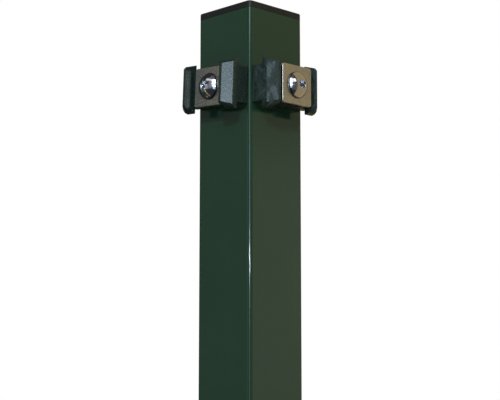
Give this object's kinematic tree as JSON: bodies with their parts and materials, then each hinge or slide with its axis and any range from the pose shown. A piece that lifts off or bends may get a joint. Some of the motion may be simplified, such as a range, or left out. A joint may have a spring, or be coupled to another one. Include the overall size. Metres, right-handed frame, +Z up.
{
  "type": "metal fence post",
  "caption": "Square steel corner post with a plug cap and screw clamps on two neighbouring faces that grip the end wires of mesh fence panels.",
  "frame": {"origin": "on the tube's centre line, at the cut foot", "axes": "+Z up along the post, -Y out of the left clamp face and +X out of the right clamp face, as seen facing the front corner"},
  "size_m": [0.0883, 0.0834, 1.5053],
  "materials": {
    "powder_coat": "satin moss green powder coat",
    "cap_plastic": "black moulded plastic, satin",
    "holder_plastic": "dark green moulded plastic, finely grained",
    "plate_steel": "dull rolled stainless steel",
    "polished_steel": "bright polished stainless steel",
    "zinc_steel": "zinc plated"
  },
  "bodies": {
    "root": {"post_tube": "powder_coat", "post_cap": "cap_plastic", "left_top_holder": "holder_plastic", "left_top_plate": "plate_steel", "left_top_screw": "polished_steel", "left_top_rivet_nut": "zinc_steel", "left_middle_holder": "holder_plastic", "left_middle_plate": "plate_steel", "left_middle_screw": "polished_steel", "left_middle_rivet_nut": "zinc_steel", "left_bottom_holder": "holder_plastic", "left_bottom_plate": "plate_steel", "left_bottom_screw": "polished_steel", "left_bottom_rivet_nut": "zinc_steel", "right_top_holder": "holder_plastic", "right_top_plate": "plate_steel", "right_top_screw": "polished_steel", "right_top_rivet_nut": "zinc_steel", "right_middle_holder": "holder_plastic", "right_middle_plate": "plate_steel", "right_middle_screw": "polished_steel", "right_middle_rivet_nut": "zinc_steel", "right_bottom_holder": "holder_plastic", "right_bottom_plate": "plate_steel", "right_bottom_screw": "polished_steel", "right_bottom_rivet_nut": "zinc_steel"}
  },
  "joints": []
}
